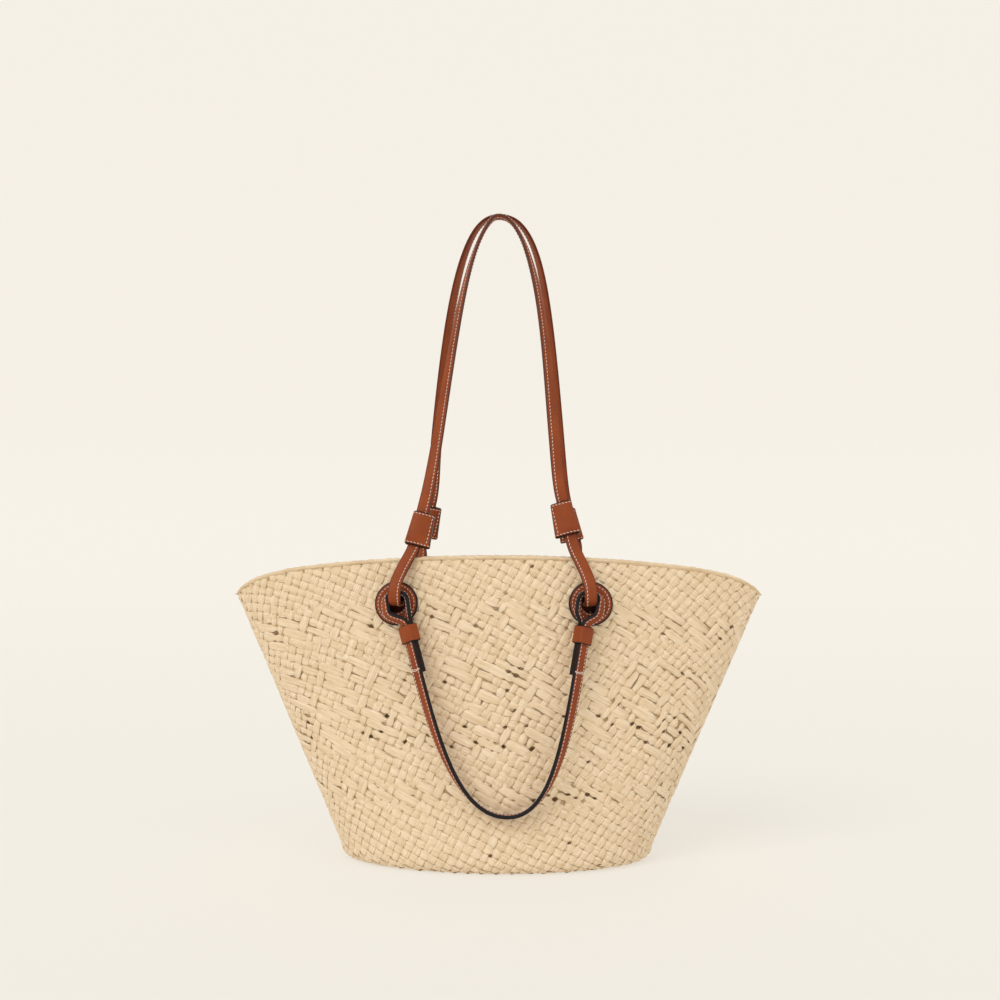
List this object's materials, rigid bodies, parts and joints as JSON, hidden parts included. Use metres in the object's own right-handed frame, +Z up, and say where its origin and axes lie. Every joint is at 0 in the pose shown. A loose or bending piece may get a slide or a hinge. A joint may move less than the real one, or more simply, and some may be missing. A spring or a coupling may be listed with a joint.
{
  "type": "woven beach bag",
  "caption": "Flaring woven straw beach bag with leather rings, two standing shoulder handles and two looped hand straps that hang in front and behind.",
  "frame": {"origin": "on the floor under the middle of the base", "axes": "+Z up through the handles, +X along the long mouth, -Y towards the front"},
  "size_m": [0.5206, 0.1846, 0.6408],
  "materials": {
    "straw_weave": "matt plaited raffia with fine lengthwise fibres",
    "straw_strand": "matt raffia edge strand",
    "tan_leather": "satin tan leather with dark painted edges and pale stitching"
  },
  "bodies": {
    "basket": {"basket_wall": "straw_weave", "basket_base": "straw_weave", "rim_strand": "straw_strand", "front_left_outer_ring": "tan_leather", "front_left_inner_ring": "tan_leather", "front_left_handle_end": "tan_leather", "front_left_cuff": "tan_leather", "front_right_outer_ring": "tan_leather", "front_right_inner_ring": "tan_leather", "front_right_handle_end": "tan_leather", "front_right_cuff": "tan_leather", "rear_left_outer_ring": "tan_leather", "rear_left_inner_ring": "tan_leather", "rear_left_handle_end": "tan_leather", "rear_left_cuff": "tan_leather", "rear_right_outer_ring": "tan_leather", "rear_right_inner_ring": "tan_leather", "rear_right_handle_end": "tan_leather", "rear_right_cuff": "tan_leather"},
    "front_shoulder_handle": {"front_shoulder_handle": "tan_leather"},
    "front_hand_strap": {"front_hand_strap": "tan_leather"},
    "rear_shoulder_handle": {"rear_shoulder_handle": "tan_leather"},
    "rear_hand_strap": {"rear_hand_strap": "tan_leather"},
    "front_left_keeper": {"front_left_keeper": "tan_leather"},
    "front_right_keeper": {"front_right_keeper": "tan_leather"},
    "rear_left_keeper": {"rear_left_keeper": "tan_leather"},
    "rear_right_keeper": {"rear_right_keeper": "tan_leather"}
  },
  "joints": [
    {"name": "front_shoulder_swing", "type": "hinge", "parent": "basket", "child": "front_shoulder_handle", "pos_m": [0, -0.0467, 0.355], "axis": [1, 0, 0], "range_deg": [0, 135]},
    {"name": "front_hand_swing", "type": "hinge", "parent": "basket", "child": "front_hand_strap", "pos_m": [0, -0.0633, 0.2605], "axis": [-1, 0, 0], "range_deg": [0, 135]},
    {"name": "rear_shoulder_swing", "type": "hinge", "parent": "basket", "child": "rear_shoulder_handle", "pos_m": [0, 0.0467, 0.355], "axis": [-1, 0, 0], "range_deg": [0, 135]},
    {"name": "rear_hand_swing", "type": "hinge", "parent": "basket", "child": "rear_hand_strap", "pos_m": [0, 0.0633, 0.2605], "axis": [1, 0, 0], "range_deg": [0, 135]},
    {"name": "front_left_keeper_slide", "type": "slide", "parent": "front_hand_strap", "child": "front_left_keeper", "axis": [0.2756, -0.1669, -0.9467], "range_m": [0, 0.018]},
    {"name": "front_right_keeper_slide", "type": "slide", "parent": "front_hand_strap", "child": "front_right_keeper", "axis": [-0.1736, -0.171, -0.9698], "range_m": [0, 0.018]},
    {"name": "rear_left_keeper_slide", "type": "slide", "parent": "rear_hand_strap", "child": "rear_left_keeper", "axis": [0.1736, 0.171, -0.9698], "range_m": [0, 0.018]},
    {"name": "rear_right_keeper_slide", "type": "slide", "parent": "rear_hand_strap", "child": "rear_right_keeper", "axis": [-0.2756, 0.1669, -0.9467], "range_m": [0, 0.018]}
  ]
}
